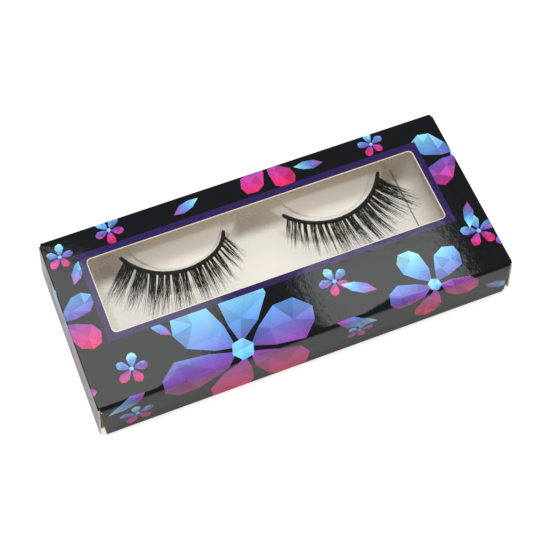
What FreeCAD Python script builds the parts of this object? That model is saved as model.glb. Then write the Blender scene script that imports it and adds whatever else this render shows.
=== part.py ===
"""False eyelash case: a folded board carton with a film window, a formed tray and a pair of strip lashes.

Millimetres. The origin is the middle of the underside, +X runs along the case to the right, +Y to the rear
and +Z up. The right-hand pieces are drawn and the left-hand ones are their mirror images.
"""
import FreeCAD, Part
import os
import re

SIZES = (
    # Carton, outside, and its board
    ("box_length", 110.0, "carton, along X"),
    ("box_width", 50.0, "carton, along Y"),
    ("box_height", 15.0, "carton, along Z"),
    ("board", 0.4, "thickness of the laminated board"),
    ("fold_radius", 0.9, "outside radius of the long folds"),
    ("crease_slack", 0.05, "slack between a hinged panel and the board that it folds from"),
    # Window and film
    ("window_length", 90.0, "window, along X"),
    ("window_width", 22.0, "window, along Y"),
    ("window_corner", 1.5, "corner radius of the window"),
    ("window_rear_margin", 9.2, "from the rear of the carton to the window"),
    ("film_gauge", 0.15, "thickness of the window film"),
    ("film_margin", 5.0, "glued margin of the film around the window"),
    # Glue flap
    ("seam_height", 10.0, "height of the glue flap above its fold"),
    ("seam_end_margin", 3.0, "the glue flap stops this far short of the carton's ends"),
    # End panels and tuck tabs
    ("panel_side_gap", 0.5, "the end panel is this much narrower than the carton on each side"),
    ("tab_floor_gap", 0.25, "the tuck tab clears the base panel by this much"),
    ("panel_lean_angle", 4.8, "how far the tucked end panel springs out from upright, degrees"),
    ("tab_reach", 6.5, "how far the tuck tab reaches into the carton, measured with its panel upright"),
    ("tab_side_gap", 2.0, "the tuck tab is this much narrower than the carton on each side"),
    ("tab_corner", 3.5, "corner radius of the tuck tab"),
    # Dust flaps
    ("flap_gap", 0.15, "gap between a dust flap and the end panel"),
    ("flap_length", 10.0, "dust flap, from its crease to its free edge"),
    ("flap_head_room", 1.2, "from the top of the carton to the flap at its crease"),
    ("flap_foot_room", 1.6, "from the underside of the carton to the flap at its crease"),
    ("flap_top_taper", 5.2, "how much the upper edge drops along the flap"),
    ("flap_foot_taper", 2.2, "how much the lower edge rises along the flap"),
    # Tray
    ("tray_gauge", 0.35, "wall of the formed sheet"),
    ("tray_end_play", 0.5, "how far the tray can shift each way"),
    ("tray_end_gap", 0.15, "gap that is left when the tray has shifted"),
    ("tray_side_gap", 0.5, "gap between the rim and the glue flap"),
    ("rim_gap", 0.35, "gap between the rim and the film"),
    ("rim_skirt", 2.0, "height of the rim, skirt included"),
    ("rim_corner", 2.5, "corner radius of the rim"),
    ("bowl_end_margin", 7.2, "width of the rim at each end"),
    ("bowl_side_margin", 1.7, "width of the rim along each side"),
    ("bowl_end_flare", 3.8, "how far each end wall of the recess leans out"),
    ("bowl_side_flare", 1.0, "how far each side wall of the recess leans out"),
    ("bowl_corner", 2.0, "corner radius of the recess"),
    ("bowl_foot_radius", 0.6, "radius between the walls and the floor of the recess"),
    ("platform_end_gap", 3.7, "from the end of the recess floor to a half-moon platform"),
    ("platform_middle_gap", 6.6, "between the two platforms"),
    ("platform_rear_offset", 1.6, "from the rear edge of the recess back to the platform's centre"),
    ("platform_round", 0.4, "radius of the platform's upper edges"),
    ("plateau_drop", 4.1, "from the rim down to the plateau"),
    ("plateau_forward", 3.0, "how far the plateau's centre lies in front of the ledge's centre"),
    ("ledge_width", 1.6, "ledge that the lash lies on, in front of the plateau"),
    ("ledge_drop", 1.0, "from the plateau down to the ledge"),
    ("platform_draft_angle", 5.0, "draft of the platform walls, degrees"),
    # Lashes
    ("lash_sweep_angle", 117.0, "angle that a lash takes up around its platform, degrees"),
    ("lash_turn_angle", 6.0, "how far a lash is turned towards its end of the case, degrees"),
    ("glue_height", 0.1, "thickness of the tack strip"),
    ("band_gap", 0.35, "from the plateau's front edge to the band"),
    ("band_width", 0.9, "lash band, across"),
    ("band_height", 0.5, "lash band, upright"),
    ("fibre_count", 30, "tufts of fibre on one lash"),
    ("fibre_root_gap", 0.2, "from the band to the middle of a tuft's root"),
    ("fibre_root", 0.2, "radius of a tuft at its root"),
    ("fibre_tip", 0.04, "radius of a tuft at its tip"),
    ("fibre_short", 7.0, "length of the tufts at the inner end"),
    ("fibre_long", 11.0, "length of the tufts at the outer end"),
    ("fan_inner_angle", -28.0, "lean of the tufts at the inner end, degrees"),
    ("fan_outer_angle", 44.0, "lean of the tufts at the outer end, degrees"),
    ("fibre_rise_angle", 3.0, "upward tilt of the tufts, degrees"),
)
ALIASES = {alias for alias, value, meaning in SIZES}
FRONT = 270

doc = FreeCAD.newDocument("lash_case")
sheet = doc.addObject("Spreadsheet::Sheet", "Sizes")
for row, (alias, value, meaning) in enumerate(SIZES, start=1):
    sheet.set(f"A{row}", meaning)
    sheet.set(f"B{row}", str(value))
    sheet.setAlias(f"B{row}", alias)
doc.recompute()

# Places that several pieces share, as formulas of the sizes
HINGE_X = "(box_length / 2 - board / 2)"
HINGE_Z = "(box_height - board / 2)"
WALL_Y = "(box_width / 2 - board / 2)"
FLAP_X = f"({HINGE_X} - board - flap_gap)"
WALL_LENGTH = f"(2 * ({FLAP_X} - board / 2 - crease_slack))"
LID_LENGTH = "(box_length - 2 * board - 2 * crease_slack)"
WALL_HEIGHT = "(box_height - 2 * fold_radius)"
SEAM_Y = f"({WALL_Y} - board)"
WINDOW_Y = "(box_width / 2 - window_rear_margin - window_width / 2)"
FILM_UNDERSIDE = "(box_height - board - film_gauge)"
TAB_RADIUS = f"({HINGE_Z} - board - tab_floor_gap)"
RIM_TOP = f"({FILM_UNDERSIDE} - rim_gap)"
TRAY_LENGTH = f"(2 * ({FLAP_X} - board / 2 - tray_end_play - tray_end_gap))"
TRAY_WIDTH = f"(2 * ({SEAM_Y} - board / 2 - tray_side_gap))"
BOWL_LENGTH = f"(2 * ({TRAY_LENGTH} / 2 - bowl_end_margin - bowl_end_flare))"
LEDGE_RADIUS = f"(({BOWL_LENGTH} / 2 - platform_end_gap - platform_middle_gap / 2) / 2)"
PLATEAU_RADIUS = f"({LEDGE_RADIUS} - ledge_width - plateau_forward)"
PLATFORM_X = f"(platform_middle_gap / 2 + {LEDGE_RADIUS})"
PLATFORM_Y = f"({TRAY_WIDTH} / 2 - bowl_side_margin + platform_rear_offset)"
PLATEAU_Y = f"({PLATFORM_Y} - plateau_forward)"
PLATEAU_Z = f"({RIM_TOP} - plateau_drop)"
LEDGE_Z = f"({PLATEAU_Z} - ledge_drop)"
BAND_RADIUS = f"({LEDGE_RADIUS} - ledge_width + band_gap)"
BAND_Z = f"({LEDGE_Z} + glue_height)"


def formula(text):
    """Point each size that a formula names at its cell of the sheet."""
    return re.sub(r"[a-z_]+", lambda word: f"Sizes.{word[0]}" if word[0] in ALIASES else word[0], text)


def bind(piece, formulas):
    """Tie properties of a piece to formulas of the sizes."""
    for name, text in formulas.items():
        piece.setExpression(name, formula(text))
    return piece


def place(piece, x, y, z, rotation=FreeCAD.Rotation()):
    """Turn a piece by a fixed rotation and tie its position to formulas."""
    piece.Placement = FreeCAD.Placement(FreeCAD.Vector(), rotation)
    return bind(piece, {"Placement.Base.x": x, "Placement.Base.y": y, "Placement.Base.z": z})


def box(name, middle, size):
    """A block given by the place of its middle and its three sizes."""
    piece = doc.addObject("Part::Box", name)
    bind(piece, dict(zip(("Length", "Width", "Height"), size)))
    return place(piece, *(f"{centre} - {extent} / 2" for centre, extent in zip(middle, size)))


def cylinder(name, radius, height, start, rotation=FreeCAD.Rotation(), angle="360"):
    """A cylinder, or a sector of one, from the middle of its first end."""
    piece = doc.addObject("Part::Cylinder", name)
    bind(piece, {"Radius": radius, "Height": height, "Angle": angle})
    return place(piece, *start, rotation)


def cut(name, base, tool):
    piece = doc.addObject("Part::Cut", name)
    piece.Base = base
    piece.Tool = tool
    return piece


def common(name, base, tool):
    piece = doc.addObject("Part::Common", name)
    piece.Base = base
    piece.Tool = tool
    return piece


def fuse(name, *shapes):
    piece = doc.addObject("Part::MultiFuse", name)
    piece.Shapes = list(shapes)
    piece.Refine = True
    return piece


def mirror(name, source, normal):
    """The mirror image of a piece in a plane through the origin."""
    piece = doc.addObject("Part::Mirroring", name)
    piece.Source = source
    piece.Normal = normal
    return piece


def edge_names(shape, wanted):
    """Names of the edges that pass a test."""
    return [f"Edge{number}" for number, edge in enumerate(shape.Edges, start=1) if wanted(edge)]


def round_edges(body, feature, wanted, radius):
    """Fillet the edges of a body's feature that pass a test."""
    doc.recompute()
    fillet = body.newObject("PartDesign::Fillet", feature.Name + "_round")
    fillet.Base = (feature, edge_names(feature.Shape, wanted))
    return bind(fillet, {"Radius": radius})


def runs_along(axis):
    """A test for straight edges that lie closer to an axis than to the plane across it."""
    def wanted(edge):
        way = edge.Vertexes[-1].Point - edge.Vertexes[0].Point
        along = abs(way.dot(axis))
        return along > (way - axis * way.dot(axis)).Length
    return wanted


def is_upper_circle(edge):
    """A test for the closed edge around the top of a round."""
    return edge.isClosed() and edge.CenterOfMass.z > 0


def rounded_block(name, middle, size, corner):
    """A block with rounded upright edges."""
    body = doc.addObject("PartDesign::Body", name)
    block = body.newObject("PartDesign::AdditiveBox", name + "_block")
    bind(block, dict(zip(("Length", "Width", "Height"), size)))
    round_edges(body, block, runs_along(FreeCAD.Vector(0, 0, 1)), corner)
    return place(body, *(f"{centre} - {extent} / 2" for centre, extent in zip(middle, size)))


# Carton sleeve
ALONG_X = FreeCAD.Rotation(FreeCAD.Vector(0, 1, 0), 90)
ALONG_Y = FreeCAD.Rotation(FreeCAD.Vector(1, 0, 0), -90)
ROLL = FreeCAD.Vector(1, 0, 0)


def fold(name, length, y, z, roll):
    """A quarter of a board tube along X: the long fold around the line at y, z."""
    start = (f"-{length} / 2", y, z)
    rotation = FreeCAD.Rotation(ROLL, roll).multiply(ALONG_X)
    outside = cylinder(name + "_outside", "fold_radius", length, start, rotation, "90")
    inside = cylinder(name + "_inside", "fold_radius - board", length, start, rotation, "90")
    return cut(name, outside, inside)


def folded_panel(name, length, rear, plane_z, fold_z, rolls):
    """A flat panel between the front of the carton and rear, with a fold along each long edge."""
    front = "-box_width / 2"
    flat_width = f"({rear} - ({front}) - 2 * fold_radius)"
    flat_middle = ("0", f"({rear} + ({front})) / 2", plane_z)
    flat = box(name + "_flat", flat_middle, (length, flat_width, "board"))
    front_fold = fold(name + "_front_fold", length, f"{front} + fold_radius", fold_z, rolls[0])
    rear_fold = fold(name + "_rear_fold", length, f"{rear} - fold_radius", fold_z, rolls[1])
    return fuse(name, flat, front_fold, rear_fold)


lid = folded_panel("lid", LID_LENGTH, "box_width / 2", HINGE_Z, "box_height - fold_radius", (180, 90))
window = rounded_block("window", ("0", WINDOW_Y, HINGE_Z), ("window_length", "window_width", "2 * board"),
                       "window_corner")
top_panel = cut("top_panel", lid, window)
base_panel = folded_panel("base_panel", LID_LENGTH, "(box_width / 2 - board)", "board / 2", "fold_radius",
                          (270, 0))
front_wall = box("front_wall", ("0", f"-{WALL_Y}", "box_height / 2"), (WALL_LENGTH, "board", WALL_HEIGHT))
REAR_HEIGHT = "(box_height - fold_radius - crease_slack)"
rear_wall = box("rear_wall", ("0", WALL_Y, f"crease_slack + {REAR_HEIGHT} / 2"),
                (WALL_LENGTH, "board", REAR_HEIGHT))
glue_flap = box("glue_flap", ("0", SEAM_Y, "fold_radius + seam_height / 2"),
                ("(box_length - 2 * seam_end_margin)", "board", "seam_height"))
window_film = box("window_film", ("0", WINDOW_Y, f"{FILM_UNDERSIDE} + film_gauge / 2"),
                  ("(window_length + 2 * film_margin)", "(window_width + 2 * film_margin)", "film_gauge"))

# End panel: a plate that hangs from a round crease, and a tab bent around the same crease line.
# Both are drawn upright and then swung out about that line to where the board springs.
PANEL_WIDTH = "(box_width - 2 * panel_side_gap)"
TAB_WIDTH = "(box_width - 2 * tab_side_gap)"
TO_HINGE = f"placement(vector(-{HINGE_X}; 0; -{HINGE_Z}); rotation(0; 0; 0))"
SPRUNG = f"placement(vector({HINGE_X}; 0; {HINGE_Z}); rotation(0; -panel_lean_angle; 0)) * {TO_HINGE}"
plate = box("end_plate", (HINGE_X, "0", f"{HINGE_Z} - {TAB_RADIUS} / 2"), ("board", PANEL_WIDTH, TAB_RADIUS))
crease = cylinder("end_crease", "board / 2", PANEL_WIDTH, (HINGE_X, f"-{PANEL_WIDTH} / 2", HINGE_Z), ALONG_Y)
right_end_panel = bind(fuse("right_end_panel", plate, crease), {"Placement": SPRUNG})

tab_start = (HINGE_X, f"-{TAB_WIDTH} / 2", HINGE_Z)
tab_outside = cylinder("tab_outside", TAB_RADIUS, TAB_WIDTH, tab_start, ALONG_Y)
tab_inside = cylinder("tab_inside", f"{TAB_RADIUS} - board", TAB_WIDTH, tab_start, ALONG_Y)
tab_ring = cut("tab_ring", tab_outside, tab_inside)
tab_block = rounded_block("tab_block", (f"({HINGE_X} - board / 2)", "0", "box_height / 4"),
                          ("2 * tab_reach", TAB_WIDTH, "box_height / 2"), "tab_corner")
tab_strip = common("tab_strip", tab_ring, tab_block)
outer_half = box("outer_half", (f"({HINGE_X} - board / 2 + tab_reach)", "0", "box_height / 2"),
                 ("2 * tab_reach", "box_width", "2 * box_height"))
right_tuck_tab = bind(cut("right_tuck_tab", tab_strip, outer_half), {"Placement": SPRUNG})

# Dust flap: a tapered plate behind the end panel, on a round upright crease
FLAP_HEIGHT = "(box_height - flap_head_room - flap_foot_room)"
flap_plate = doc.addObject("Part::Wedge", "flap_plate")
bind(flap_plate, {
    "Xmin": "-board / 2",
    "X2min": "-board / 2",
    "Xmax": "board / 2",
    "X2max": "board / 2",
    "Ymin": "0",
    "Ymax": "flap_length",
    "Zmin": "0",
    "Zmax": FLAP_HEIGHT,
    "Z2min": "flap_foot_taper",
    "Z2max": f"{FLAP_HEIGHT} - flap_top_taper",
})
place(flap_plate, FLAP_X, f"-{WALL_Y}", "flap_foot_room")
flap_crease = cylinder("flap_crease", "board / 2", FLAP_HEIGHT, (FLAP_X, f"-{WALL_Y}", "flap_foot_room"))
right_front_dust_flap = fuse("right_front_dust_flap", flap_plate, flap_crease)

# Tray: a rim with a skirt, a drafted recess and two half-moon platforms, all one sheet of even gauge
RIM_MIDDLE = f"({RIM_TOP} - rim_skirt / 2)"
rim_block = rounded_block("rim_block", ("0", "0", RIM_MIDDLE), (TRAY_LENGTH, TRAY_WIDTH, "rim_skirt"),
                          "rim_corner")
hollow_size = (f"({TRAY_LENGTH} - 2 * tray_gauge)", f"({TRAY_WIDTH} - 2 * tray_gauge)", "rim_skirt")
rim_hollow = rounded_block("rim_hollow", ("0", "0", f"{RIM_MIDDLE} - tray_gauge"), hollow_size,
                           "rim_corner - tray_gauge")
rim = cut("rim", rim_block, rim_hollow)


def bowl(name, grown, foot_z):
    """The recess as a solid, grown outwards by a wall, with its floor at foot_z."""
    half_length = f"({TRAY_LENGTH} / 2 - bowl_end_margin + {grown})"
    half_width = f"({TRAY_WIDTH} / 2 - bowl_side_margin + {grown})"
    body = doc.addObject("PartDesign::Body", name)
    wedge = body.newObject("PartDesign::AdditiveWedge", name + "_wedge")
    bind(wedge, {
        "Xmin": f"-({half_length} - bowl_end_flare)",
        "Xmax": f"{half_length} - bowl_end_flare",
        "X2min": f"-{half_length}",
        "X2max": half_length,
        "Ymin": "0",
        "Ymax": f"{RIM_TOP} - board - tray_gauge",
        "Zmin": f"-({half_width} - bowl_side_flare)",
        "Zmax": f"{half_width} - bowl_side_flare",
        "Z2min": f"-{half_width}",
        "Z2max": half_width,
    })
    corners = round_edges(body, wedge, runs_along(FreeCAD.Vector(0, 1, 0)), f"bowl_corner + {grown}")

    def at_foot(edge):
        return all(vertex.Y < 1e-6 for vertex in edge.Vertexes)

    round_edges(body, corners, at_foot, f"bowl_foot_radius + {grown}")
    return place(body, "0", "0", foot_z, FreeCAD.Rotation(ROLL, 90))


def platform_step(name, radius, top_z, inset):
    """One level of a platform as a drafted round, drawn in by a wall."""
    height = f"({top_z} - {inset})"
    body = doc.addObject("PartDesign::Body", name)
    cone = body.newObject("PartDesign::AdditiveCone", name + "_cone")
    bind(cone, {
        "Height": height,
        "Radius2": f"{radius} - {inset}",
        "Radius1": f"{radius} - {inset} + tan(platform_draft_angle) * {height}",
    })
    return body, cone


def platforms(name, inset, rounded):
    """Both half-moon platforms as solids, drawn in by a wall."""
    steps = []
    levels = (("ledge", LEDGE_RADIUS, PLATFORM_Y, LEDGE_Z), ("plateau", PLATEAU_RADIUS, PLATEAU_Y, PLATEAU_Z))
    for step, radius, centre_y, top_z in levels:
        for side, sign in (("left", "-"), ("right", "")):
            body, cone = platform_step(f"{name}_{side}_{step}", radius, top_z, inset)
            if rounded:
                round_edges(body, cone, is_upper_circle, "platform_round")
            steps.append(place(body, f"{sign}{PLATFORM_X}", centre_y, "0"))
    return fuse(name, *steps)


shell = fuse("shell", rim, bowl("bowl_outside", "tray_gauge", "board"))
cavity = cut("cavity", bowl("bowl_inside", "0", "board + tray_gauge"), platforms("platform_forms", "0", True))
filled_tray = cut("filled_tray", shell, cavity)
lash_tray = cut("lash_tray", filled_tray, platforms("platform_hollows", "tray_gauge", False))

# Lash: a tack strip on the ledge, a band on the strip, and tufts that fan out from the band
LASH_START = f"({FRONT} + lash_turn_angle - lash_sweep_angle / 2)"


def arc_strip(name, foot_z, height):
    """A strip along the ledge."""
    outside = doc.addObject("Part::Cylinder", name + "_outside")
    bind(outside, {
        "Radius": f"{BAND_RADIUS} + band_width",
        "Height": height,
        "Angle": "lash_sweep_angle",
        "Placement": f"placement(vector({PLATFORM_X}; {PLATFORM_Y}; {foot_z}); rotation({LASH_START}; 0; 0))",
    })
    inside = cylinder(name + "_inside", BAND_RADIUS, height, (PLATFORM_X, PLATFORM_Y, foot_z))
    return cut(name, outside, inside)


def tuft(number, share):
    """One tapered tuft, share of the way from the inner to the outer end of the band."""
    angle = f"({LASH_START} + {share} * lash_sweep_angle)"
    radius = f"({BAND_RADIUS} + band_width + fibre_root_gap)"
    root_x = f"{PLATFORM_X} + {radius} * cos({angle})"
    root_y = f"{PLATFORM_Y} + {radius} * sin({angle})"
    root_z = f"{BAND_Z} + band_height / 2"
    heading = f"{FRONT} + fan_inner_angle + {share} * (fan_outer_angle - fan_inner_angle)"
    root = f"vector({root_x}; {root_y}; {root_z})"
    cone = doc.addObject("Part::Cone", f"tuft_{number}")
    return bind(cone, {
        "Radius1": "fibre_root",
        "Radius2": "fibre_tip",
        "Height": f"fibre_short + (fibre_long - fibre_short) * {share * (2 - share)}",
        "Placement": f"placement({root}; rotation({heading}; 90 - fibre_rise_angle; 0))",
    })


right_lash_glue = arc_strip("right_lash_glue", LEDGE_Z, "glue_height")
right_lash_band = arc_strip("right_lash_band", BAND_Z, "band_height")
tuft_count = int(sheet.get("fibre_count"))
right_lash_fibres = doc.addObject("Part::Compound", "right_lash_fibres")
right_lash_fibres.Links = [tuft(number, number / (tuft_count - 1)) for number in range(tuft_count)]

# Mirror images
TO_REAR = FreeCAD.Vector(0, 1, 0)
TO_LEFT = FreeCAD.Vector(1, 0, 0)
right_rear_dust_flap = mirror("right_rear_dust_flap", right_front_dust_flap, TO_REAR)
right_pieces = [right_end_panel, right_tuck_tab, right_front_dust_flap, right_rear_dust_flap,
                right_lash_glue, right_lash_band, right_lash_fibres]
left_pieces = [mirror(piece.Name.replace("right", "left"), piece, TO_LEFT) for piece in right_pieces]
middle_pieces = [top_panel, base_panel, front_wall, rear_wall, glue_flap, window_film, lash_tray]
pieces = middle_pieces + right_pieces + left_pieces

# Check every object, then write one file per piece
doc.recompute()
for item in doc.Objects:
    if "Invalid" in item.State or "Error" in item.State:
        raise RuntimeError(f"{item.Name} did not compute: {item.State}")
for piece in pieces:
    piece.Label = piece.Name
    if piece.Shape.isNull() or not piece.Shape.isValid():
        raise RuntimeError(f"{piece.Label} has no valid shape")
os.makedirs("parts", exist_ok=True)
for piece in pieces:
    piece.Shape.exportStep(f"parts/{piece.Label}.step")
    reach = piece.Shape.BoundBox
    print(f"{piece.Label}: {len(piece.Shape.Solids)} solids, {piece.Shape.Volume:.2f} mm3,"
          f" x {reach.XMin:.2f} to {reach.XMax:.2f}, y {reach.YMin:.2f} to {reach.YMax:.2f},"
          f" z {reach.ZMin:.2f} to {reach.ZMax:.2f}")
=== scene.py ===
# %% [markdown]
# # A false eyelash case
# The case is a tuck-end carton of gloss-laminated board with a window, a clear film behind the window, a
# clear formed tray inside and a pair of strip lashes on the tray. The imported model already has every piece
# at its size and place. This lesson gives those pieces their looks: board that is one printed sheet, folded,
# with its pale core showing at every cut, lashes made of separate hairs, and plastics that light can cross.
# Lengths are in millimetres, and one factor turns them to Blender's metres.

# %% Load the frame
import math
import random
from collections import namedtuple

import bmesh
import bpy
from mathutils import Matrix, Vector
from mathutils.geometry import delaunay_2d_cdt


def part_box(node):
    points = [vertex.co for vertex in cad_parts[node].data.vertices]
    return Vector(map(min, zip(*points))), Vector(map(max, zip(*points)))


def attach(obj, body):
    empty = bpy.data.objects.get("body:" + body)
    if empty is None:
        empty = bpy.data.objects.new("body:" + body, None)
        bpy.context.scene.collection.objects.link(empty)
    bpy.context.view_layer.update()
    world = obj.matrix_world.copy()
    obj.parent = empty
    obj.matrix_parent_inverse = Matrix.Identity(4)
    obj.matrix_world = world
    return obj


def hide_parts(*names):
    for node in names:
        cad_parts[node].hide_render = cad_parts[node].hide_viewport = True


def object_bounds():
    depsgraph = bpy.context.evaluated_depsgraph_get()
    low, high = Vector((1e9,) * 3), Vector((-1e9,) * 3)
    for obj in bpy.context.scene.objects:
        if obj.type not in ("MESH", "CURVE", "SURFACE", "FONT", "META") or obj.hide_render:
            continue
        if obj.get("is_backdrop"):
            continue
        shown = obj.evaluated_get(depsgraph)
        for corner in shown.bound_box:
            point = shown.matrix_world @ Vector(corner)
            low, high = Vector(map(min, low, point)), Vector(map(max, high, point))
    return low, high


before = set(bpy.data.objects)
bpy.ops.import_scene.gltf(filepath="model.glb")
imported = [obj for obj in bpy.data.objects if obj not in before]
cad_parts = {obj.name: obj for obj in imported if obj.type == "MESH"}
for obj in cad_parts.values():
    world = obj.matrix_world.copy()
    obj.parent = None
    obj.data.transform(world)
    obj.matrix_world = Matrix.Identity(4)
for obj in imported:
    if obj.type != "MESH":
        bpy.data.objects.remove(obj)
cad_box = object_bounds()
MM = 0.001


def box_mm(node):
    """Lowest and highest corner of a node of the frame, in millimetres."""
    low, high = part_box(node)
    return low / MM, high / MM


print("nodes in the frame:", len(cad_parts))

# %% [markdown]
# ## The camera
# The camera comes first, because the lamps are placed later by what the lid mirrors to it. A product shot
# like this is taken with a long lens from above and a little to the left. The angles and the distance were
# found by matching the corners of the carton, so the aim is off the middle of the case by a hair.

# %% Camera
AZIMUTH = math.radians(-21.63)
ELEVATION = math.radians(61.51)
DISTANCE = 345.2
LENS = 87.42
AIM_RIGHT = 0.08
AIM_UP = -1.89

back = Vector((
    math.sin(AZIMUTH) * math.cos(ELEVATION),
    -math.cos(AZIMUTH) * math.cos(ELEVATION),
    math.sin(ELEVATION),
))
to_right = Vector((math.cos(AZIMUTH), math.sin(AZIMUTH), 0))
case_middle = (cad_box[0] + cad_box[1]) / 2 / MM
eye = case_middle + back * DISTANCE + to_right * AIM_RIGHT + back.cross(to_right) * AIM_UP

camera = bpy.data.objects.new("camera", bpy.data.cameras.new("camera"))
camera.data.lens = LENS
camera.data.clip_start = 10 * MM
camera.location = eye * MM
camera.rotation_mode = "QUATERNION"
camera.rotation_quaternion = (-back).to_track_quat("-Z", "Y")
bpy.context.scene.collection.objects.link(camera)
bpy.context.scene.camera = camera
print("camera at", [round(value, 1) for value in eye], "mm")

# %% [markdown]
# ## Helpers for materials
# Shader colours are linear, and designers pick sRGB hex values, so one function converts them. Another adds
# a node with its settings and links, which keeps each material below to a few readable lines. Patterns are
# drawn in object space, in metres, so a pattern's scale is one over the real size of its detail.

# %% Material helpers


def linear(hex_colour):
    """An sRGB hex colour as the linear RGBA that shaders work in."""
    channels = [int(hex_colour[start:start + 2], 16) / 255 for start in (1, 3, 5)]
    return [c / 12.92 if c <= 0.04045 else ((c + 0.055) / 1.055) ** 2.4 for c in channels] + [1.0]


def add(tree, kind, inputs, **settings):
    """Add a node. Each input is a value, an output socket to link from, or a node for its first output."""
    node = tree.nodes.new("ShaderNode" + kind)
    for name, value in settings.items():
        setattr(node, name, value)
    for socket, value in inputs.items():
        if isinstance(value, bpy.types.Node):
            value = value.outputs[0]
        if isinstance(value, bpy.types.NodeSocket):
            tree.links.new(value, node.inputs[socket])
        else:
            node.inputs[socket].default_value = value
    return node


def new_material(name):
    """An empty node material and its tree."""
    material = bpy.data.materials.new(name)
    material.use_nodes = True
    material.node_tree.nodes.clear()
    return material, material.node_tree


def coated(material, shader):
    """The material with a shader as its surface."""
    add(material.node_tree, "OutputMaterial", {"Surface": shader})
    return material


def per_metre(size_mm):
    """The texture scale that draws a detail of this size."""
    return 1 / (size_mm * MM)


print("mid grey is", [round(value, 4) for value in linear("#808080")])

# %% [markdown]
# ## Gloss-laminated print
# Folding boxboard is offset printed and then laminated with a gloss film. The eye sees deep colour under a
# mirror-like skin that isn't quite flat: the film follows the board's fibres as a fine orange peel, and
# the panel cockles a little over a few centimetres, so the edges of reflections look frayed. The print could
# be an image, but it is a colour stored on the mesh, so that its edges stay crisp at any distance.

# %% Gloss laminate
ORANGE_PEEL = 1.8
PEEL_DEPTH = 0.012
COCKLE = 16.0
COCKLE_DEPTH = 0.03
# Roughness of the clean film and of the smudges left by fingers
GLOSS = (0.03, 0.10)
SMUDGE = 9.0
# Printing dots are 0.15 mm apart, too fine to show, so the ink's unevenness is drawn coarser
INK_GRAIN = 0.5
INK_DENSITY = (0.88, 1.12)


def gloss_laminate():
    material, tree = new_material("gloss_laminated_boxboard")
    place = add(tree, "TexCoord", {}).outputs["Object"]
    peel, cockle, smudge, grain = [
        add(tree, "TexNoise", {"Vector": place, "Scale": per_metre(size), "Detail": detail})
        for size, detail in ((ORANGE_PEEL, 3.0), (COCKLE, 1.0), (SMUDGE, 4.0), (INK_GRAIN, 2.0))]
    cockled = add(tree, "Bump", {"Height": cockle, "Distance": COCKLE_DEPTH * MM})
    skin = add(tree, "Bump", {"Height": peel, "Distance": PEEL_DEPTH * MM, "Normal": cockled})
    gloss = add(tree, "MapRange", {"Value": smudge, "To Min": GLOSS[0], "To Max": GLOSS[1]})
    density = add(tree, "MapRange", {"Value": grain, "To Min": INK_DENSITY[0], "To Max": INK_DENSITY[1]})
    print_colour = add(tree, "Attribute", {}, attribute_name="print")
    ink = add(tree, "VectorMath", {0: print_colour, "Scale": density}, operation="SCALE")
    film = add(tree, "BsdfPrincipled", {"Base Color": ink, "IOR": 1.5, "Roughness": gloss, "Normal": skin})
    return coated(material, film)


printed = gloss_laminate()
print("made", printed.name)

# %% [markdown]
# ## Board back and cut edge
# The back of the board is left uncoated: warm white, matt, with short fibres that catch the light. Where the
# die cuts through, the core shows as a pale line around the window and along every flap. Both are the same
# pulp, so they share one function, and the edge is only a little greyer and rougher.

# %% Bare board
# Single fibres are 0.03 mm thick, too fine to show, so the nap is drawn coarser
FIBRE = 0.35
FLOC = 2.5


def bare_board(name, colour, fleck, nap_depth):
    """Matt pulp with a fibrous nap and soft clouds of a second tone."""
    material, tree = new_material(name)
    place = add(tree, "TexCoord", {}).outputs["Object"]
    fibre = add(tree, "TexNoise", {"Vector": place, "Scale": per_metre(FIBRE), "Detail": 3.0})
    floc = add(tree, "TexNoise", {"Vector": place, "Scale": per_metre(FLOC), "Detail": 2.0})
    tone = add(tree, "Mix", {0: floc, 6: linear(colour), 7: linear(fleck)}, data_type="RGBA")
    nap = add(tree, "Bump", {"Height": fibre, "Distance": nap_depth * MM})
    pulp = add(tree, "BsdfPrincipled", {
        "Base Color": tone.outputs[2], "Roughness": 0.85, "Specular IOR Level": 0.25, "Normal": nap})
    return coated(material, pulp)


board_back = bare_board("uncoated_board_back", "#fcf8f1", "#f8f1e7", 0.012)
board_edge = bare_board("die_cut_board_edge", "#faf5ec", "#efe7da", 0.02)
print("made", board_back.name, "and", board_edge.name)

# %% [markdown]
# ## The printed design
# The lid carries faceted blossoms that run from pale cyan at the top through blue and violet to red. They
# could be a picture, but a picture has pixels. Here each petal is a few flat facets, drawn on one artboard
# in millimetres that is the carton unrolled around its lid, so a blossom can run on over an edge.

# %% Facets
RAMP = [linear(colour) for colour in ("#a3effa", "#62aaec", "#6a55b8", "#c83c96", "#e0264f")]
RAMP_END = 0.999


def between(first, last, share):
    """The value share of the way from the first to the last."""
    return first + (last - first) * share


def ramp_colour(share, light):
    """A colour share of the way along the ramp, lightened or darkened."""
    place = min(max(share, 0.0), RAMP_END) * (len(RAMP) - 1)
    step = int(place)
    ends = zip(RAMP[step], RAMP[step + 1])
    return [min(1.0, light * between(low, high, place - step)) for low, high in ends]


def facet(corners, top, drop, light):
    """A flat facet and a function that colours any point of it by how far it lies below the motif's top."""
    area = sum(a.cross(b) for a, b in zip(corners, corners[1:] + corners[:1]))
    wound = corners if area > 0 else corners[::-1]

    def paint(point):
        return ramp_colour((point - top).dot(drop) / drop.length_squared, light)

    return wound, paint


print("halfway down the ramp:", [round(value, 2) for value in ramp_colour(0.5, 1.0)])

# %% [markdown]
# ## Blossoms
# A petal is one outline with two points along its rib, and the facets between them are tinted at random, as
# if light fell on a folded surface. Each blossom takes its chance numbers from its own place, so moving one
# leaves the others as they are.

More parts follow.
